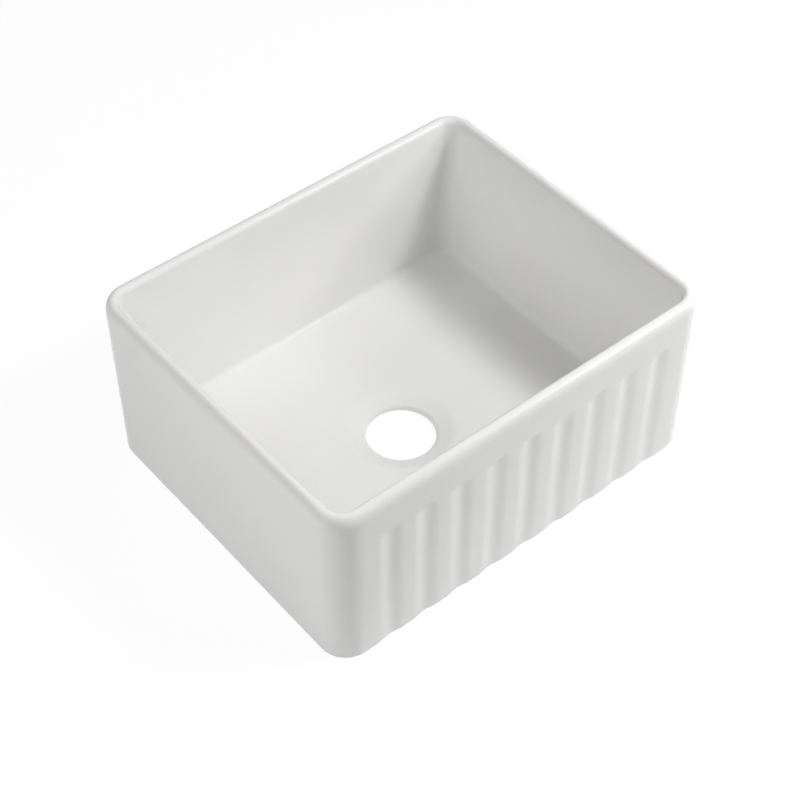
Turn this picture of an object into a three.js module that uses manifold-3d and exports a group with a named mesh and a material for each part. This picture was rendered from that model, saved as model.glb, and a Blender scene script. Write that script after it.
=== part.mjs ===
// Farmhouse kitchen sink with a fluted apron front: one deep bowl, one central outlet.
// Millimetres, +Z up. The origin is the middle of the underside, the apron faces -Y.
// A fireclay casting, bare at its foot, carries a thin coat of fired white glaze.

import * as THREE from 'three';
import { mergeVertices } from 'three/addons/utils/BufferGeometryUtils.js';
import Module from 'manifold-3d';

const wasm = await Module();
wasm.setup();

// Outside of the glazed sink
const WIDTH = 560;
const DEPTH = 460;
const HEIGHT = 252;
const CORNER_RADIUS = 36.5;
const FOOT_ROUND = 6;

// Rim: two quarter ellipses that meet at the crown
const RIM_OUTER_REACH = 9.5;
const RIM_OUTER_FALL = 15;
const RIM_INNER_REACH = 7;
const RIM_INNER_FALL = 9;

// Bowl: each wall leans in by its draft, in mm for each mm down
const SIDE_DRAFT = 0.032;
const FRONT_AND_BACK_DRAFT = 0.006;
const FLOOR_THICKNESS = 26;
const FLOOR_FALL = 9;
const COVE_RADIUS = 10;

// Outlet: straight throat, rounded lip, and a shallow cone up to the floor for a strainer flange
const THROAT_RADIUS = 45;
const LIP_REACH = 7;
const LIP_FALL = 7;
const DISH_RADIUS = 68;
const DISH_DEPTH = 8;
const DISH_EASE = 10;

// Flutes in the apron: rounded at the top, open through the foot
const FLUTE_COUNT = 9;
const FLUTE_PITCH = 51.3;
const FLUTE_WIDTH = 37;
const FLUTE_DEPTH = 2.2;
const FLUTE_DROP = 48;
const FLUTE_END = 13;

// Glaze coat, and the clearance between it and the clay
const GLAZE_THICKNESS = 1;
const COAT_CLEARANCE = 0.3;
const BARE_FOOT = 1.5;

// Facets
const CORNER_STEPS = 8;
const ROUND_STEPS = 5;
const FOOT_STEPS = 3;
const FLUTE_STEPS = 4;
const FLUTE_END_SEGMENTS = 16;

const RIGHT = 0;
const UP = Math.PI / 2;
const LEFT = Math.PI;
const DOWN = 1.5 * Math.PI;

const arc = (x, z, reach, rise, from, to, steps) =>
  new THREE.EllipseCurve(x, z, reach, rise, from, to, to < from).getPoints(steps);

// A closed geometry as a solid, without the empty triangles that a pole leaves behind
function toSolid(geometry) {
  geometry.deleteAttribute('normal');
  geometry.deleteAttribute('uv');
  const merged = mergeVertices(geometry);
  const corners = merged.index.array;
  const kept = [];
  for (let i = 0; i < corners.length; i += 3) {
    const [a, b, c] = corners.slice(i, i + 3);
    if (a !== b && b !== c && c !== a) kept.push(a, b, c);
  }
  return new wasm.Manifold(new wasm.Mesh({
    numProp: 3,
    vertProperties: new Float32Array(merged.attributes.position.array),
    triVerts: new Uint32Array(kept),
  }));
}

function toGeometry(solid) {
  const mesh = solid.getMesh();
  const geometry = new THREE.BufferGeometry();
  geometry.setAttribute('position', new THREE.BufferAttribute(mesh.vertProperties, 3));
  geometry.setIndex(new THREE.BufferAttribute(mesh.triVerts, 1));
  geometry.computeVertexNormals();
  return geometry;
}

// Moves a section line into the material, which lies on the right of its direction
function inward(points, distance) {
  return points.map((point, i) => {
    const before = points[Math.max(i - 1, 0)];
    const after = points[Math.min(i + 1, points.length - 1)];
    const arriving = point.clone().sub(i > 0 ? before : after).normalize();
    if (i === 0) arriving.negate();
    const leaving = i < points.length - 1 ? after.clone().sub(point).normalize() : arriving.clone();
    const along = arriving.clone().add(leaving).normalize();
    const reach = distance / along.dot(arriving);
    return new THREE.Vector2(point.x + along.y * reach, point.y - along.x * reach);
  });
}

// Section of the wall, as inset from the outer face against height: outside, crown, bowl, cove
function wallSection() {
  const rimWidth = RIM_OUTER_REACH + RIM_INNER_REACH;
  const coveTop = FLOOR_THICKNESS + COVE_RADIUS;
  const bowlTop = HEIGHT - RIM_INNER_FALL;
  const coveInset = rimWidth + FRONT_AND_BACK_DRAFT * (bowlTop - coveTop) + COVE_RADIUS;
  const outerTop = HEIGHT - RIM_OUTER_FALL;
  return [
    new THREE.Vector2(0, FOOT_ROUND),
    ...arc(RIM_OUTER_REACH, outerTop, RIM_OUTER_REACH, RIM_OUTER_FALL, LEFT, UP, ROUND_STEPS),
    ...arc(RIM_OUTER_REACH, bowlTop, RIM_INNER_REACH, RIM_INNER_FALL, UP, RIGHT, ROUND_STEPS).slice(1),
    ...arc(coveInset, coveTop, COVE_RADIUS, COVE_RADIUS, LEFT, DOWN, ROUND_STEPS),
  ];
}

// Section of the outlet, as distance towards the axis against height: dish, lip, throat
function outletSection() {
  const edge = new THREE.Vector2(-DISH_RADIUS, FLOOR_THICKNESS - FLOOR_FALL);
  const top = new THREE.Vector2(-THROAT_RADIUS, edge.y - DISH_DEPTH);
  const down = top.clone().sub(edge).normalize();
  const dishTurn = new THREE.QuadraticBezierCurve(
    new THREE.Vector2(edge.x - DISH_EASE, edge.y),
    edge,
    edge.clone().addScaledVector(down, DISH_EASE),
  );
  const lipTurn = new THREE.QuadraticBezierCurve(
    top.clone().addScaledVector(down, -LIP_REACH),
    top,
    new THREE.Vector2(top.x, top.y - LIP_FALL),
  );
  return [
    ...dishTurn.getPoints(ROUND_STEPS - 1),
    ...lipTurn.getPoints(ROUND_STEPS),
    new THREE.Vector2(-THROAT_RADIUS, 0),
  ];
}

// How much further the side walls of the bowl have leant in than its front and back
function sideLean(point) {
  const depth = Math.max(HEIGHT - RIM_INNER_FALL - point.y, 0);
  return point.x > RIM_OUTER_REACH ? (SIDE_DRAFT - FRONT_AND_BACK_DRAFT) * depth : 0;
}

// Rings run anticlockwise seen from above, and all have the same number of points.
// Corners share the outer corner's centre line, down to a tight one at the foot of the cove.
function rectangleRing(inset, z, lean = 0) {
  const radius = Math.max(CORNER_RADIUS - inset, COVE_RADIUS / 4);
  const ring = [];
  for (let corner = 0; corner < 4; corner += 1) {
    const x = (WIDTH / 2 - inset - lean - radius) * (corner === 1 || corner === 2 ? -1 : 1);
    const y = (DEPTH / 2 - inset - radius) * (corner > 1 ? -1 : 1);
    const start = corner * UP;
    for (const p of arc(x, y, radius, radius, start, start + UP, CORNER_STEPS)) {
      ring.push(new THREE.Vector3(p.x, p.y, z));
    }
  }
  return ring;
}

function circleRing(radius, z) {
  const count = 4 * (CORNER_STEPS + 1);
  const ring = [];
  for (let i = 0; i < count; i += 1) {
    const angle = (2 * Math.PI * (i + 0.5)) / count;
    ring.push(new THREE.Vector3(radius * Math.cos(angle), radius * Math.sin(angle), z));
  }
  return ring;
}

// Skin through the rings in turn, and from the last ring back to the first
function loft(rings) {
  const count = rings[0].length;
  const index = [];
  for (let k = 0; k < rings.length; k += 1) {
    const low = k * count;
    const high = ((k + 1) % rings.length) * count;
    for (let i = 0; i < count; i += 1) {
      const j = (i + 1) % count;
      index.push(low + i, low + j, high + j, low + i, high + j, high + i);
    }
  }
  const geometry = new THREE.BufferGeometry().setFromPoints(rings.flat());
  geometry.setIndex(index);
  return toSolid(geometry);
}

// The whole sink before fluting, drawn in by a skin on every face but the underside
function castForm(skin) {
  const foot = arc(skin + FOOT_ROUND, FOOT_ROUND, FOOT_ROUND, FOOT_ROUND, DOWN, LEFT, FOOT_STEPS);
  const wall = inward(wallSection(), skin).slice(1);
  const outlet = inward(outletSection(), skin);
  return loft([
    ...foot.map((p) => rectangleRing(p.x, p.y)),
    ...wall.map((p) => rectangleRing(p.x, p.y, sideLean(p))),
    ...outlet.map((p) => circleRing(-p.x, p.y)),
  ]);
}

// One flute as a cutter: a smooth swell that stands into the apron, rounded off at its top
function fluteCutter() {
  const half = FLUTE_WIDTH / 2;
  const proud = 2 * FLUTE_DEPTH;
  const shaftTop = HEIGHT - FLUTE_DROP - FLUTE_END;
  const swell = [];
  for (let i = -FLUTE_STEPS; i <= FLUTE_STEPS; i += 1) {
    const share = i / FLUTE_STEPS;
    const rise = FLUTE_DEPTH * (1 + Math.cos(Math.PI * share)) / 2;
    swell.push(new THREE.Vector2(-half * share, rise));
  }
  const corner = new THREE.Vector2(half, -proud);
  const section = new THREE.Shape([new THREE.Vector2(-half, -proud), corner, ...swell]);
  const shaft = new THREE.ExtrudeGeometry(section, { depth: shaftTop + FOOT_ROUND, bevelEnabled: false });
  shaft.translate(0, 0, -FOOT_ROUND);
  const profile = [new THREE.Vector2(0, -proud), corner, ...swell.slice(0, FLUTE_STEPS + 1)];
  const end = new THREE.LatheGeometry(profile, FLUTE_END_SEGMENTS);
  end.scale(1, 1, FLUTE_END / half);
  end.translate(0, 0, shaftTop);
  return toSolid(shaft).add(toSolid(end));
}

function flutes(skin) {
  const cutter = fluteCutter();
  const row = [];
  for (let i = 0; i < FLUTE_COUNT; i += 1) {
    const x = (i - (FLUTE_COUNT - 1) / 2) * FLUTE_PITCH;
    row.push(cutter.translate([x, skin - DEPTH / 2, 0]));
  }
  return wasm.Manifold.union(row);
}

const sinkForm = (skin) => castForm(skin).subtract(flutes(skin));

// Everything lower than the edge where the coat stops
function belowCoat() {
  const slab = new THREE.BoxGeometry(2 * WIDTH, 2 * DEPTH, 2 * BARE_FOOT);
  return toSolid(slab);
}

const body = sinkForm(GLAZE_THICKNESS + COAT_CLEARANCE);
const coat = sinkForm(0).subtract(sinkForm(GLAZE_THICKNESS)).subtract(belowCoat());

const clay = new THREE.MeshStandardMaterial({ color: '#e6dfcf', roughness: 0.85, metalness: 0 });
const glaze = new THREE.MeshStandardMaterial({ color: '#f3f2ee', roughness: 0.1, metalness: 0 });

const sink = new THREE.Group();
for (const [name, solid, material] of [
  ['fireclay_body', body, clay],
  ['glaze_coat', coat, glaze],
]) {
  const mesh = new THREE.Mesh(toGeometry(solid), material);
  mesh.name = name;
  sink.add(mesh);
}

export default sink;
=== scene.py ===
"""Farmhouse kitchen sink in white glazed fireclay, with a fluted apron front, in a plain studio.

Lengths are in metres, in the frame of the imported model: the origin is the middle of the
underside, and the apron faces -Y.
"""

from functools import partial
from math import ceil, cos, hypot, pi, radians, sin
from typing import NamedTuple

import bmesh
import bpy
from bpy.props import FloatProperty, FloatVectorProperty, IntProperty, PointerProperty
from mathutils import Matrix, Vector, noise


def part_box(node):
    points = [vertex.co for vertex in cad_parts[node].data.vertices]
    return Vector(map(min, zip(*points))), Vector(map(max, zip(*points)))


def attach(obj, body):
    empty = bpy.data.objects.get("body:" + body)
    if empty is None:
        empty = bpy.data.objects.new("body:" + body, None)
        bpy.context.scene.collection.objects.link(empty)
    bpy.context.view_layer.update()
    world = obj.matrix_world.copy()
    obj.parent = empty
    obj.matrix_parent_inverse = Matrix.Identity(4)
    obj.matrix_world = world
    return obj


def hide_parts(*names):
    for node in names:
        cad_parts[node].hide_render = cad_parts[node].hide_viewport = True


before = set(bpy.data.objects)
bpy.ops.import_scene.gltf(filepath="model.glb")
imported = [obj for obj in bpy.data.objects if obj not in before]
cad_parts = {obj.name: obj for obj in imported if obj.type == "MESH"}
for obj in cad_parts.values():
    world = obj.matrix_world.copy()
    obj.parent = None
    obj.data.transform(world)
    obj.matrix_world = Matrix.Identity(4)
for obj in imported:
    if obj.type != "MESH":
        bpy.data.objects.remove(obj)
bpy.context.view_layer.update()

bl_info = {
    "name": "Fluted farmhouse sink",
    "version": (1, 0, 0),
    "blender": (4, 5, 0),
    "location": "3D View > Sidebar > Sink",
    "description": "Makes a glazed fireclay sink with a fluted apron front, and a studio for it",
    "category": "Object",
}

GLAZE_LOW, GLAZE_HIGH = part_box("glaze_coat")
MM = 0.001

# Shape
CORNER_SEGMENTS = 12
FLUTED_STEP = 3 * MM  # between points of the outline along the apron
PLAIN_STEP = 12 * MM  # between points of the outline along the other sides
BAND_STEP = 9 * MM  # between rings on the plain band over the flutes
OUTLET_STEP = 3 * MM  # between rings in the outlet
STEP_SLACK = 0.01  # share of a step that points may lie further apart
FLUTE_TOP_POWER = 2.4  # of the curve that ends a flute at its top, where 2 is an ellipse
SETTLED_ACROSS = 5  # waves of unevenness for each metre across
SETTLED_UP = 4  # waves of unevenness for each metre up
SAG = 0.4  # of the rim, as a share of how far the wall settled
SAG_POWER = 6  # the higher it is, the nearer to the rim the sag stays
EDGE_RISE = 0.2 * MM  # of the coat's back edge over its face at the foot
SHARP_CORNER = radians(40)  # an edge that turns more is shaded as a corner
MERGE_DISTANCE = 0.01 * MM

# Where the glaze thins and pools, mostly as shares of the rounding it lies on
LIP_TIGHTNESS = 1.4  # how closely the thin line keeps to the outlet's lip
RIM_BAND = 1.2  # how far down the thinning of the rim is looked for, in outer roundings
OUTSIDE_MIDDLE, OUTSIDE_REACH = 0.45, 0.55  # of the thin line outside the crown
INSIDE_MIDDLE, INSIDE_REACH = 0.6, 0.45  # of the thin line inside the crown
FOOT_THINNING = 3.5 * MM  # height over the underside at which the glaze is whole again
FLUTE_EDGE = 0.06  # share of a flute's depth at which its edge lies
FLUTE_THINNING, FLUTE_POOLING = 0.8, 0.5  # the most that the glaze does of either on a flute

# Studio
LIT_POINT = (0, 0, 0.15)
FLOOR_HALF_WIDTH = 6
FLOOR_GLOW = 1.035  # with the lamps' share, it makes the floor white where no shadow lies
FLOOR_GLOW_SHARE = 0.9
FRAME_WIDTH_MM = 36.0


class Detail(NamedTuple):
    """How finely a skin is laid: steps in metres, and counts along its round stretches."""

    wall_step: float
    flute_top_step: float
    rim_outside: int
    rim_inside: int
    cove: int
    dish_edge: int
    lip: int
    foot: int
    foot_stride: int
    floor: int


SHOWN = Detail(
    wall_step=16 * MM, flute_top_step=1 * MM, rim_outside=14, rim_inside=9, cove=10, dish_edge=8, lip=12,
    foot=40, foot_stride=4, floor=14,
)
HIDDEN = Detail(
    wall_step=90 * MM, flute_top_step=4 * MM, rim_outside=5, rim_inside=4, cove=5, dish_edge=4, lip=6,
    foot=12, foot_stride=3, floor=6,
)


def length(name, description, default):
    """A length that a user may change, in metres."""
    return FloatProperty(
        name=name, description=description, default=default, min=0.0, precision=4,
        subtype="DISTANCE", unit="LENGTH",
    )


def share(name, description, default):
    """A share from nothing to all."""
    return FloatProperty(
        name=name, description=description, default=default, min=0.0, max=1.0, subtype="FACTOR",
    )


def tint(name, description, default):
    """A colour that a user may change."""
    return FloatVectorProperty(
        name=name, description=description, default=default, size=3, min=0.0, max=1.0, subtype="COLOR",
    )


def turn(name, description, degrees):
    """An angle that a user may change, given here in degrees."""
    return FloatProperty(
        name=name, description=description, default=radians(degrees), subtype="ANGLE", unit="ROTATION",
    )


def power(name, description, default):
    """The power of a lamp, in watts."""
    return FloatProperty(
        name=name, description=description, default=default, min=0.0, subtype="POWER", unit="POWER",
    )


class SinkSizes(bpy.types.PropertyGroup):
    """Sizes of the glazed sink."""

    width: length("Width", "Across the apron, over the glaze", GLAZE_HIGH.x - GLAZE_LOW.x)
    depth: length("Depth", "From the apron to the back", GLAZE_HIGH.y - GLAZE_LOW.y)
    height: length("Height", "From the foot to the crown of the rim", GLAZE_HIGH.z)
    corner_radius: length("Corner radius", "Of the four upright outer corners", 36.5 * MM)
    foot_round: length("Foot round", "Radius under the walls", 6 * MM)
    bare_foot: length("Bare foot", "Height of the foot that the glaze leaves bare", GLAZE_LOW.z)
    rim_outer_reach: length("Rim outer reach", "Width of the rounding outside the crown", 9.5 * MM)
    rim_outer_fall: length("Rim outer fall", "Height of the rounding outside the crown", 15 * MM)
    rim_inner_reach: length("Rim inner reach", "Width of the rounding inside the crown", 7 * MM)
    rim_inner_fall: length("Rim inner fall", "Height of the rounding inside the crown", 9 * MM)
    side_draft: FloatProperty(
        name="Side draft", description="Lean of the bowl's sides for each metre down", default=0.032,
    )
    end_draft: FloatProperty(
        name="Front and back draft", description="Lean of the bowl's front and back for each metre down",
        default=0.006,
    )
    floor_thickness: length("Floor thickness", "At the foot of the walls", 26 * MM)
    floor_fall: length("Floor fall", "From the walls to the outlet", 9 * MM)
    cove_radius: length("Cove radius", "Between the walls and the floor", 10 * MM)
    throat_radius: length("Throat radius", "Of the hole through the floor", 45 * MM)
    dish_radius: length("Dish radius", "Of the shallow cone round the throat", 68 * MM)
    dish_depth: length("Dish depth", "Of the cone, down to the throat", 8 * MM)
    dish_ease: length("Dish ease", "Half the width of the rounding at the edge of the cone", 4 * MM)
    lip_reach: length("Lip reach", "Width of the rounding at the top of the throat", 4 * MM)
    lip_fall: length("Lip fall", "Height of the rounding at the top of the throat", 4 * MM)
    flute_count: IntProperty(name="Flutes", description="Number of flutes in the apron", default=9, min=1)
    flute_pitch: length("Flute pitch", "Between the middles of two flutes", 51.3 * MM)
    flute_width: length("Flute width", "Across one flute", 37 * MM)
    flute_depth: length("Flute depth", "At the middle of a flute", 2.2 * MM)
    flute_drop: length("Flute drop", "From the crown of the rim to the top of the flutes", 48 * MM)
    flute_end: length("Flute end", "Height over which a flute runs out at its top", 13 * MM)
    glaze_thickness: length("Glaze thickness", "Of the fired coat", 1.0 * MM)
    clay_inset: length("Clay inset", "From the face of the glaze to the clay", 1.3 * MM)
    unevenness: length("Unevenness", "How far the walls settled in the kiln", 0.5 * MM)


class GlazeLook(bpy.types.PropertyGroup):
    """Finish of the white glaze."""

    white: tint("White", "The glaze where it lies at its usual thickness", (0.87, 0.87, 0.864))
    cream: tint("Cream", "The glaze where its tone drifts", (0.864, 0.86, 0.85))
    thin: tint("Thin", "Where the glaze draws back from an edge", (0.845, 0.838, 0.82))
    pooled: tint("Pooled", "Where the glaze runs together in a hollow", (0.87, 0.87, 0.87))
    fleck: tint("Fleck", "The few specks that show through", (0.6, 0.5, 0.39))
    roughness: share("Roughness", "Of the fired surface", 0.11)


class ClayLook(bpy.types.PropertyGroup):
    """Finish of the bare fireclay under the foot."""

    body: tint("Body", "The fired clay", (0.74, 0.66, 0.53))
    pale: tint("Pale", "Where the clay fired paler", (0.83, 0.78, 0.67))
    toasted: tint("Toasted", "Where the clay fired darker", (0.62, 0.5, 0.36))
    iron: tint("Iron", "Specks of iron", (0.27, 0.17, 0.1))
    roughness: share("Roughness", "Of the ground clay", 0.88)


class StudioLook(bpy.types.PropertyGroup):
    """Light, floor and camera."""

    window_power: power("Window", "Soft lamp that shows in the gloss", 5.8)
    key_power: power("Key", "Soft lamp high in front of the right end", 21.6)
    right_power: power("Right", "Low lamp beside the right end", 9.0)
    left_power: power("Left", "Broad lamp beside the left end", 5.2)
    high_left_power: power("High left", "Lamp over the left end", 4.8)
    back_power: power("Back", "Broad lamp behind the sink", 4.8)
    fill: FloatProperty(
        name="Fill", description="Strength of the even light from all round", default=0.01, min=0.0,
    )
    floor: tint("Floor", "The floor under the sink", (0.9, 0.9, 0.9))
    azimuth: turn("Azimuth", "Where the camera stands, turned from straight in front", -39.7485)
    elevation: turn("Elevation", "Height of the camera over the horizon", 47.393)
    roll: turn("Roll", "Turn of the camera about its own line of sight", 0.0731)
    distance: length("Distance", "From the camera to the point it looks at", 2.268025)
    aim: FloatVectorProperty(
        name="Aim", description="The point the camera looks at", default=(0.02108, 0.0276, 0.03192),
        subtype="TRANSLATION",
    )
    lens: FloatProperty(
        name="Lens", description="Focal length over a 36 mm frame, in mm", default=80.0306, min=1.0,
        unit="CAMERA",
    )


# ---------------------------------------------------------------- shape


def arc(x, z, reach, rise, start, end, steps):
    """Points along part of an ellipse, between two angles in degrees."""
    angles = [radians(start + (end - start) * i / steps) for i in range(steps + 1)]
    return [Vector((x + reach * cos(a), z + rise * sin(a))) for a in angles]


def line(start, end, step):
    """Points of a straight run after its start, a step apart at most, give or take the slack."""
    count = max(1, ceil((end - start).length / step - STEP_SLACK))
    return [start.lerp(end, i / count) for i in range(1, count + 1)]


def inward(points, distance):
    """Moves a section line into the material, which lies on the right of its direction."""
    moved = []
    for i, point in enumerate(points):
        before = points[max(i - 1, 0)]
        after = points[min(i + 1, len(points) - 1)]
        arriving = (point - before).normalized() if i > 0 else (after - point).normalized()
        leaving = (after - point).normalized() if i < len(points) - 1 else arriving
        along = (arriving + leaving).normalized()
        reach = distance / along.dot(arriving)
        moved.append(Vector((point.x + along.y * reach, point.y - along.x * reach)))
    return moved


def wall_section(s, detail):
    """Inset from the outer face against height: up the outside, over the crown, down to the floor."""
    outer_top = s.height - s.rim_outer_fall
    bowl_top = s.height - s.rim_inner_fall
    cove_top = s.floor_thickness + s.cove_radius
    rim = s.rim_outer_reach + s.rim_inner_reach
    cove_inset = rim + s.end_draft * (bowl_top - cove_top) + s.cove_radius
    flute_top = s.height - s.flute_drop
    points = [Vector((0, s.foot_round))]
    points += line(points[-1], Vector((0, flute_top - s.flute_end)), detail.wall_step)
    points += line(points[-1], Vector((0, flute_top + MM)), detail.flute_top_step)
    points += line(points[-1], Vector((0, outer_top - MM)), BAND_STEP)
    crown = s.rim_outer_reach
    outside = arc(crown, outer_top, s.rim_outer_reach, s.rim_outer_fall, 180, 90, detail.rim_outside)
    inside = arc(crown, bowl_top, s.rim_inner_reach, s.rim_inner_fall, 90, 0, detail.rim_inside)
    points += outside + inside[1:]
    points += line(points[-1], Vector((cove_inset - s.cove_radius, cove_top)), detail.wall_step)
    points += arc(cove_inset, cove_top, s.cove_radius, s.cove_radius, 180, 270, detail.cove)[1:]
    return points


def rounded(corner, start, end, steps):
    """Points of a smooth turn from one line to the next, which would meet in a corner."""
    shares = [i / steps for i in range(steps + 1)]
    return [start.lerp(corner, t).lerp(corner.lerp(end, t), t) for t in shares]


def outlet_section(s, detail, bottom):
    """Distance towards the outlet's axis against height: dish, lip, throat."""
    edge = Vector((-s.dish_radius, s.floor_thickness - s.floor_fall))
    top = Vector((-s.throat_radius, edge.y - s.dish_depth))
    down = (top - edge).normalized()
    points = rounded(edge, edge - Vector((s.dish_ease, 0)), edge + s.dish_ease * down, detail.dish_edge)
    lip_start = top - s.lip_reach * down
    points += line(points[-1], lip_start, OUTLET_STEP)[:-1]
    points += rounded(top, lip_start, top - Vector((0, s.lip_fall)), detail.lip)
    points += line(points[-1], Vector((-s.throat_radius, bottom)), OUTLET_STEP)
    return points


def flute_at(s, x, z):
    """How far the apron is hollowed at a place, by flutes that run out in a round top."""
    middle = (s.flute_count - 1) / 2
    nearest = min(max(round(x / s.flute_pitch + middle), 0), s.flute_count - 1) - middle
    across = abs(x - nearest * s.flute_pitch) * 2 / s.flute_width
    above = max(0.0, z - (s.height - s.flute_drop - s.flute_end)) / s.flute_end
    reach = (across**FLUTE_TOP_POWER + above**FLUTE_TOP_POWER) ** (1 / FLUTE_TOP_POWER)
    return s.flute_depth * (1 + cos(pi * reach)) / 2 if reach < 1 else 0.0


def outer_outline(bm, s):
    """The rounded rectangle of the sink seen from above, finely divided along the fluted front."""
    bmesh.ops.create_grid(bm, x_segments=1, y_segments=1, size=1)
    bmesh.ops.scale(bm, vec=(s.width / 2, s.depth / 2, 1), verts=bm.verts)
    bmesh.ops.bevel(
        bm, geom=bm.verts[:], affect="VERTICES", offset=s.corner_radius, offset_type="OFFSET",
        segments=CORNER_SEGMENTS, profile=0.5, material=-1,
    )
    bmesh.ops.delete(bm, geom=bm.faces[:], context="FACES_ONLY")
    for side in sorted(bm.edges[:], key=lambda e: -e.calc_length())[:4]:
        fluted = all(v.co.y < s.corner_radius / 2 - s.depth / 2 for v in side.verts)
        cuts = round(side.calc_length() / (FLUTED_STEP if fluted else PLAIN_STEP)) - 1
        bmesh.ops.subdivide_edges(bm, edges=[side], cuts=cuts)


def limit(value, most):
    """The value, or the nearest that is no further from nothing than the most."""
    return min(max(value, -most), most)


def spot_on_wall(s, home, point):
    """Where a point of the outer outline comes to lie, at an inset and a height of the wall."""
    inset, z = point
    half = Vector((s.width / 2 - s.corner_radius, s.depth / 2 - s.corner_radius))
    core = Vector((limit(home.x, half.x), limit(home.y, half.y)))
    facing = (home.xy - core) / s.corner_radius
    waves = Vector((home.x * SETTLED_ACROSS, home.y * SETTLED_ACROSS, z * SETTLED_UP))
    settled = s.unevenness * (0.5 + 0.5 * noise.noise(waves))
    spot = core + facing * (max(s.corner_radius - inset, s.cove_radius / 4) - settled)
    if inset > s.rim_outer_reach:
        down = max(s.height - s.rim_inner_fall - z, 0)
        spot.x -= (s.side_draft - s.end_draft) * down * core.x / half.x
    elif home.y < 0:
        spot.y += flute_at(s, home.x, z) * max(0.0, -facing.y)
    sag = SAG * settled * (z / s.height) ** SAG_POWER
    return Vector((spot.x, spot.y, z - sag))


def spot_in_outlet(home, point):
    """Where a point of the outer outline comes to lie on a ring round the outlet."""
    flat = home.xy.normalized() * -point.x
    return Vector((flat.x, flat.y, point.y))


def spot_on_floor(s, home, start, end, part):
    """Where a point of the outer outline comes to lie on the floor, part of the way to the outlet."""
    return spot_on_wall(s, home, start).lerp(spot_in_outlet(home, end), part)


def ring_plan(s, skin, detail, bottom):
    """The rings of a skin from the foot to the bottom of the throat: where each takes a point of the
    outline, and the point of the section that it stands for, which the open floor lacks."""
    foot = arc(skin + s.foot_round, s.foot_round, s.foot_round, s.foot_round, 270, 180, detail.foot)
    foot = [p for p in foot[:-1] if p.y > bottom][:: detail.foot_stride]
    wall = foot + inward(wall_section(s, detail), skin)
    outlet = inward(outlet_section(s, detail, bottom), skin)
    outlet[-1].y = bottom
    plan = [(partial(spot_on_wall, s, point=p), p) for p in wall]
    for i in range(1, detail.floor):
        part = i / detail.floor
        plan.append((partial(spot_on_floor, s, start=wall[-1], end=outlet[0], part=part), None))
    plan += [(partial(spot_in_outlet, point=p), p) for p in outlet]
    return plan


def fade(distance, reach):
    """1 at no distance, falling to 0 at a reach."""
    return max(0.0, 1 - distance / reach)


def glaze_lie(s, point, home):
    """How thin the glaze lies at a place, and how much it has pooled there."""
    if point is None:
        return 0.0, 0.0
    across, z = point
    thin = pooled = 0.0
    if across < 0:
        top = s.floor_thickness - s.floor_fall - s.dish_depth
        from_lip = hypot((-across - s.throat_radius) / s.lip_reach, (z - top) / s.lip_fall)
        thin = fade(LIP_TIGHTNESS * from_lip, 1)
    elif across < s.rim_outer_reach + s.rim_inner_reach and z > s.height - RIM_BAND * s.rim_outer_fall:
        from_outside = abs(across - OUTSIDE_MIDDLE * s.rim_outer_reach)
        from_inside = abs(across - s.rim_outer_reach - INSIDE_MIDDLE * s.rim_inner_reach)
        outside = fade(from_outside, OUTSIDE_REACH * s.rim_outer_reach)
        inside = fade(from_inside, INSIDE_REACH * s.rim_inner_reach)
        thin = max(outside, inside)
    elif across < s.rim_outer_reach:
        thin = fade(z, FOOT_THINNING)
        if home.y < 0:
            hollow = flute_at(s, home.x, z) / s.flute_depth
            if hollow > 0:
                thin = max(thin, FLUTE_THINNING * fade(abs(hollow - FLUTE_EDGE), FLUTE_EDGE))
            pooled = FLUTE_POOLING * max(0.0, 2 * hollow - 1)
    else:
        pooled = fade(z - s.floor_thickness, s.cove_radius)
    return thin, pooled


def lay_skin(s, plan):
    """A closed skin, made by extruding the outline into one ring of a plan after another."""
    bm = bmesh.new()
    outer_outline(bm, s)
    home_layer = bm.verts.layers.float_vector.new("outline")
    thin_layer = bm.verts.layers.float.new("thin_glaze")
    pooled_layer = bm.verts.layers.float.new("pooled_glaze")
    for vert in bm.verts:
        vert[home_layer] = vert.co
    outline = bm.verts[:]
    edges = bm.edges[:]
    for place, point in plan:
        made = bmesh.ops.extrude_edge_only(bm, edges=edges)["geom"]
        edges = [e for e in made if isinstance(e, bmesh.types.BMEdge)]
        for vert in (v for v in made if isinstance(v, bmesh.types.BMVert)):
            home = vert[home_layer]
            vert.co = place(home=home)
            vert[thin_layer], vert[pooled_layer] = glaze_lie(s, point, home)
    bmesh.ops.delete(bm, geom=outline, context="VERTS")
    bmesh.ops.bridge_loops(bm, edges=[e for e in bm.edges if e.is_boundary])
    return bm


def finish_piece(bm, name, node, material):
    """Turns a finished bmesh into the piece that stands for a node of the frame."""
    bmesh.ops.remove_doubles(bm, verts=bm.verts, dist=MERGE_DISTANCE)
    bmesh.ops.recalc_face_normals(bm, faces=bm.faces)
    highest = max(bm.faces, key=lambda f: f.calc_center_median().z)
    if highest.normal.z <= 0:
        bmesh.ops.reverse_faces(bm, faces=bm.faces)
    open_edges = [e for e in bm.edges if len(e.link_faces) != 2]
    if open_edges:
        raise RuntimeError(f"{name} has {len(open_edges)} open edges")
    for face in bm.faces:
        face.smooth = True
    for edge in bm.edges:
        edge.smooth = edge.calc_face_angle() < SHARP_CORNER
    mesh = bpy.data.meshes.new(name)
    bm.to_mesh(mesh)
    bm.free()
    mesh.materials.append(material)
    piece = bpy.data.objects.new(name, mesh)
    bpy.context.scene.collection.objects.link(piece)
    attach(piece, "root")
    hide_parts(node)


# ---------------------------------------------------------------- finishes


# Sockets of a Mix node that are used when it mixes colours
MIX_AMOUNT, MIX_FIRST, MIX_SECOND, MIX_RESULT = 0, 6, 7, 2


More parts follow.
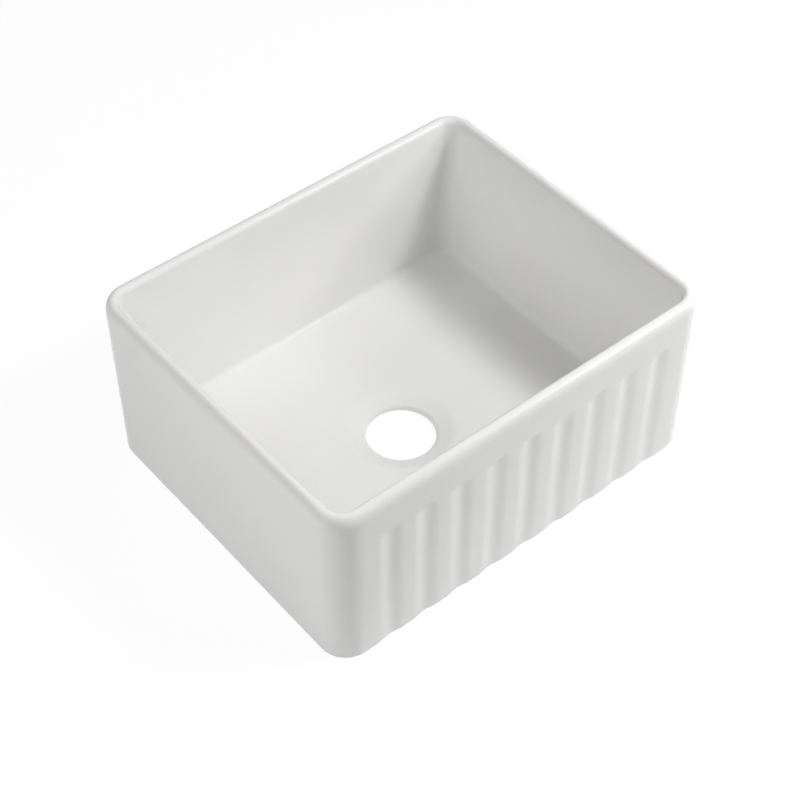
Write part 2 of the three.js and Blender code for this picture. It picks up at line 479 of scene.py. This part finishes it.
class Wire:
    """An output of a node. Arithmetic on it adds Math nodes."""

    def __init__(self, bench, socket):
        self.bench = bench
        self.socket = socket

    def also(self, output):
        """Another output of the same node."""
        return Wire(self.bench, self.socket.node.outputs[output])

    def _math(self, operation, first, second):
        return self.bench.node("Math", {"operation": operation}, {0: first, 1: second})

    def __add__(self, other):
        return self._math("ADD", self, other)

    def __sub__(self, other):
        return self._math("SUBTRACT", self, other)

    def __rsub__(self, other):
        return self._math("SUBTRACT", other, self)

    def __mul__(self, other):
        return self._math("MULTIPLY", self, other)

    __radd__ = __add__
    __rmul__ = __mul__

    def most(self, other):
        """The greater of the two."""
        return self._math("MAXIMUM", self, other)

    def over(self, other):
        """1 where this is greater than the other, else 0."""
        return self._math("GREATER_THAN", self, other)


class Bench:
    """Where the nodes of one material or of the world are put together."""

    def __init__(self, owner):
        owner.use_nodes = True
        self.tree = owner.node_tree
        self.tree.nodes.clear()

    def node(self, kind, settings, inputs, output=0):
        """Adds a node, makes its settings and then fills its sockets, and returns one output."""
        made = self.tree.nodes.new("ShaderNode" + kind)
        for name, value in settings.items():
            setattr(made, name, value)
        for name, value in inputs.items():
            if isinstance(value, Wire):
                self.tree.links.new(value.socket, made.inputs[name])
            else:
                made.inputs[name].default_value = value
        return Wire(self, made.outputs[output]) if made.outputs else None

    def grain(self, place, scale, detail, roughness=0.5):
        """Noise from 0 to 1, with a number of lumps for each metre."""
        sockets = {"Vector": place, "Scale": scale, "Detail": detail, "Roughness": roughness}
        return self.node("TexNoise", {}, sockets)

    def cells(self, place, scale):
        """Distance to the nearest of the scattered points, with a number of them for each metre."""
        return self.node("TexVoronoi", {"feature": "F1"}, {"Vector": place, "Scale": scale})

    def lot(self, cells, channel):
        """A random number from 0 to 1 that is the same all over each cell."""
        return self.node("SeparateColor", {}, {"Color": cells.also("Color")}, channel)

    def slope(self, value, low, high):
        """0 below one value, 1 above another, and a smooth rise between."""
        sockets = {"Value": value, "From Min": low, "From Max": high}
        return self.node("MapRange", {"interpolation_type": "SMOOTHSTEP"}, sockets)

    def blend(self, amount, first, second):
        """A colour between two others."""
        sockets = {MIX_AMOUNT: amount, MIX_FIRST: first, MIX_SECOND: second}
        return self.node("Mix", {"data_type": "RGBA"}, sockets, MIX_RESULT)

    def choice(self, amount, first, second):
        """A shader between two others."""
        return self.node("MixShader", {}, {0: amount, 1: first, 2: second})

    def relief(self, height):
        """The normals of a surface with a height in metres."""
        return self.node("Bump", {}, {"Strength": 1.0, "Distance": 1.0, "Height": height})

    def seen(self):
        """1 for rays from the camera and for those that gloss and glass send on, else 0."""
        path = self.node("LightPath", {}, {}, "Is Camera Ray")
        return path.most(path.also("Is Glossy Ray")).most(path.also("Is Transmission Ray"))

    def surface(self, shader):
        """Ends a material with its shader."""
        self.node("OutputMaterial", {}, {"Surface": shader})


def solid(colour):
    """A colour of three parts as a socket takes it."""
    return (*colour, 1.0)


def glaze_finish(look):
    """White glaze: a drifting tone, thin at edges, pooled in hollows, faintly rippled and pitted."""
    material = bpy.data.materials.new("white_glaze")
    bench = Bench(material)
    place = bench.node("TexCoord", {}, {}, "Object")
    drift = bench.slope(bench.grain(place, scale=7, detail=3), low=0.35, high=0.7)
    cloud = bench.grain(place, scale=31, detail=3)
    peel = bench.grain(place, scale=210, detail=2)
    ripple = bench.grain(place, scale=17, detail=1)
    thin = bench.node("Attribute", {"attribute_name": "thin_glaze"}, {}, "Fac")
    pooled = bench.node("Attribute", {"attribute_name": "pooled_glaze"}, {}, "Fac")
    cells = bench.cells(place, scale=55)
    size = bench.lot(cells, "Green") * 0.012 + 0.008
    speck = (1 - bench.slope(cells - size, low=0.0, high=0.008)) * bench.lot(cells, "Red").over(0.9)
    colour = bench.blend(drift, solid(look.white), solid(look.cream))
    colour = bench.blend(pooled * 0.7, colour, solid(look.pooled))
    colour = bench.blend(thin * (0.25 + 0.5 * cloud), colour, solid(look.thin))
    colour = bench.blend(speck * 0.35, colour, solid(look.fleck))
    bump = bench.relief(peel * (0.012 * MM) + ripple * (0.22 * MM) - speck * (0.08 * MM))
    roughness = look.roughness - 0.03 + cloud * 0.06 + thin * 0.05 + speck * 0.2
    sockets = {"Base Color": colour, "Roughness": roughness, "IOR": 1.5, "Normal": bump}
    bench.surface(bench.node("BsdfPrincipled", {}, sockets))
    return material


def clay_finish(look):
    """Bare fireclay: mottled buff, with grog, specks of iron and the streaks of the grinding."""
    material = bpy.data.materials.new("bare_fireclay")
    bench = Bench(material)
    place = bench.node("TexCoord", {}, {}, "Object")
    mottle = bench.grain(place, scale=14, detail=5, roughness=0.6)
    grain = bench.grain(place, scale=420, detail=3, roughness=0.6)
    stretched = bench.node("Mapping", {}, {"Vector": place, "Rotation": (0, 0, 0.35), "Scale": (1, 26, 1)})
    streaks = bench.grain(stretched, scale=9, detail=4, roughness=0.65)
    grog = 1 - bench.slope(bench.cells(place, scale=330), low=0.16, high=0.3)
    cells = bench.cells(place, scale=120)
    iron = (1 - bench.slope(cells, low=0.05, high=0.11)) * bench.lot(cells, "Red").over(0.72)
    colour = bench.blend(bench.slope(mottle, low=0.35, high=0.68), solid(look.body), solid(look.pale))
    colour = bench.blend(bench.slope(streaks, low=0.45, high=0.75) * 0.35, colour, solid(look.pale))
    colour = bench.blend(bench.slope(grain, low=0.45, high=0.7) * 0.3, colour, solid(look.toasted))
    colour = bench.blend(grog * 0.25, colour, solid(look.pale))
    colour = bench.blend(iron * 0.8, colour, solid(look.iron))
    relief = grain * (0.25 * MM) + streaks * (0.18 * MM) + grog * (0.06 * MM) + mottle * (0.3 * MM)
    bump = bench.relief(relief)
    roughness = look.roughness - 0.05 + grain * 0.1
    sockets = {"Base Color": colour, "Roughness": roughness, "Normal": bump}
    bench.surface(bench.node("BsdfPrincipled", {}, sockets))
    return material


def floor_finish(look):
    """A white floor that keeps a soft shadow."""
    material = bpy.data.materials.new("studio_floor")
    bench = Bench(material)
    matte = bench.node("BsdfDiffuse", {}, {"Color": solid(look.floor)})
    glow = bench.node("Emission", {}, {"Color": solid((1, 1, 1)), "Strength": FLOOR_GLOW})
    bench.surface(bench.choice(bench.seen() * FLOOR_GLOW_SHARE, matte, glow))
    return material


def studio_world(look):
    """A faint even light from all round, which is seen as white."""
    world = bpy.data.worlds.new("studio_light")
    bench = Bench(world)
    even = bench.node("Background", {}, {"Color": (0.98, 0.99, 1.0, 1.0), "Strength": look.fill})
    white = bench.node("Background", {}, {"Color": solid((1, 1, 1)), "Strength": 1.0})
    bench.node("OutputWorld", {}, {"Surface": bench.choice(bench.seen(), even, white)})
    return world


# ---------------------------------------------------------------- operators


class SINK_OT_glaze_coat(bpy.types.Operator):
    """Make the coat of white glaze over the outside, the rim, the bowl and the outlet"""

    bl_idname = "sink.glaze_coat"
    bl_label = "Glaze Coat"

    def execute(self, context):
        s = context.scene.sink_sizes
        face = ring_plan(s, 0.0, SHOWN, s.bare_foot)
        back = ring_plan(s, s.glaze_thickness, HIDDEN, s.bare_foot + EDGE_RISE)
        bm = lay_skin(s, face + back[::-1])
        finish = glaze_finish(context.scene.sink_glaze)
        finish_piece(bm, "sink_glaze", "glaze_coat", finish)
        return {"FINISHED"}


class SINK_OT_fireclay_body(bpy.types.Operator):
    """Make the fireclay casting under the glaze, with its bare foot and underside"""

    bl_idname = "sink.fireclay_body"
    bl_label = "Fireclay Body"

    def execute(self, context):
        s = context.scene.sink_sizes
        bm = lay_skin(s, ring_plan(s, s.clay_inset, SHOWN, 0.0))
        finish = clay_finish(context.scene.sink_clay)
        finish_piece(bm, "sink_fireclay", "fireclay_body", finish)
        return {"FINISHED"}


def point_at(thing, place, target, roll=0.0):
    """Stands a lamp or camera at a place, looking at a target."""
    back = (place - target).normalized()
    side = Vector((0, 0, 1)).cross(back).normalized()
    up = back.cross(side)
    across = cos(roll) * side + sin(roll) * up
    upright = cos(roll) * up - sin(roll) * side
    turned = Matrix((across, upright, back)).transposed().to_4x4()
    thing.matrix_world = Matrix.Translation(place) @ turned


def direction(azimuth, elevation):
    """Unit vector from the sink towards a compass bearing and height; 0 is straight in front."""
    return Vector((sin(azimuth) * cos(elevation), -cos(azimuth) * cos(elevation), sin(elevation)))


def add_lamp(name, watts, azimuth, elevation, distance, width, height, glossy=False):
    """A soft lamp that faces the middle of the sink, and may show in its gloss."""
    lamp = bpy.data.lights.new(name, "AREA")
    lamp.energy = watts
    lamp.shape = "RECTANGLE"
    lamp.size = width
    lamp.size_y = height
    thing = bpy.data.objects.new(name, lamp)
    thing.visible_glossy = glossy
    bpy.context.scene.collection.objects.link(thing)
    middle = Vector(LIT_POINT)
    point_at(thing, middle + distance * direction(radians(azimuth), radians(elevation)), middle)


def lay_floor(look):
    """The floor that the sink stands on."""
    bm = bmesh.new()
    bmesh.ops.create_grid(bm, x_segments=1, y_segments=1, size=FLOOR_HALF_WIDTH)
    mesh = bpy.data.meshes.new("studio_floor")
    bm.to_mesh(mesh)
    bm.free()
    mesh.materials.append(floor_finish(look))
    floor = bpy.data.objects.new("studio_floor", mesh)
    bpy.context.scene.collection.objects.link(floor)


def hang_lamps(look):
    """The soft lamps round the sink. Only the window shows in the gloss."""
    add_lamp(
        "window_lamp", look.window_power, azimuth=38, elevation=28, distance=2.2, width=0.55, height=0.85,
        glossy=True,
    )
    add_lamp("key_lamp", look.key_power, azimuth=47, elevation=52, distance=2.0, width=0.45, height=0.45)
    add_lamp("right_lamp", look.right_power, azimuth=73, elevation=34, distance=2.0, width=0.45, height=0.45)
    add_lamp("left_lamp", look.left_power, azimuth=-90, elevation=24, distance=1.6, width=0.8, height=0.8)
    add_lamp(
        "high_left_lamp", look.high_left_power, azimuth=-75, elevation=50, distance=1.5, width=0.6,
        height=0.6,
    )
    add_lamp("back_lamp", look.back_power, azimuth=180, elevation=21, distance=2.0, width=0.9, height=0.9)


def set_camera(look):
    """The camera, at the angle from which the sink was photographed."""
    lens = bpy.data.cameras.new("camera")
    lens.sensor_width = FRAME_WIDTH_MM
    lens.lens = look.lens
    lens.clip_start = 0.1
    lens.clip_end = 50.0
    camera = bpy.data.objects.new("camera", lens)
    bpy.context.scene.collection.objects.link(camera)
    aim = Vector(look.aim)
    place = aim + look.distance * direction(look.azimuth, look.elevation)
    point_at(camera, place, aim, look.roll)
    return camera


class SINK_OT_studio(bpy.types.Operator):
    """Set up the floor, the soft light and the camera"""

    bl_idname = "sink.studio"
    bl_label = "Studio"

    def execute(self, context):
        scene = context.scene
        look = scene.sink_studio
        lay_floor(look)
        hang_lamps(look)
        scene.world = studio_world(look)
        scene.camera = set_camera(look)
        scene.view_settings.view_transform = "Standard"
        return {"FINISHED"}


class SINK_PT_panel(bpy.types.Panel):
    """Sidebar panel with the sizes, the finishes and the steps of the sink"""

    bl_idname = "SINK_PT_panel"
    bl_label = "Farmhouse Sink"
    bl_space_type = "VIEW_3D"
    bl_region_type = "UI"
    bl_category = "Sink"

    def draw(self, context):
        column = self.layout.column()
        for operator in (SINK_OT_glaze_coat, SINK_OT_fireclay_body, SINK_OT_studio):
            column.operator(operator.bl_idname)
        for name in GROUPS:
            group = getattr(context.scene, name)
            column.label(text=name.replace("_", " ").capitalize())
            for field in group.__annotations__:
                column.prop(group, field)


GROUPS = {
    "sink_sizes": SinkSizes,
    "sink_glaze": GlazeLook,
    "sink_clay": ClayLook,
    "sink_studio": StudioLook,
}
CLASSES = (*GROUPS.values(), SINK_OT_glaze_coat, SINK_OT_fireclay_body, SINK_OT_studio, SINK_PT_panel)


def register():
    """Adds the classes, and their settings to every scene."""
    for cls in CLASSES:
        bpy.utils.register_class(cls)
    for name, group in GROUPS.items():
        setattr(bpy.types.Scene, name, PointerProperty(type=group))


def unregister():
    """Takes the settings and the classes away again."""
    for name in GROUPS:
        delattr(bpy.types.Scene, name)
    for cls in reversed(CLASSES):
        bpy.utils.unregister_class(cls)


def main():
    """Makes the sink and its studio."""
    register()
    bpy.ops.sink.glaze_coat()
    bpy.ops.sink.fireclay_body()
    bpy.ops.sink.studio()


if __name__ == "__main__":
    main()
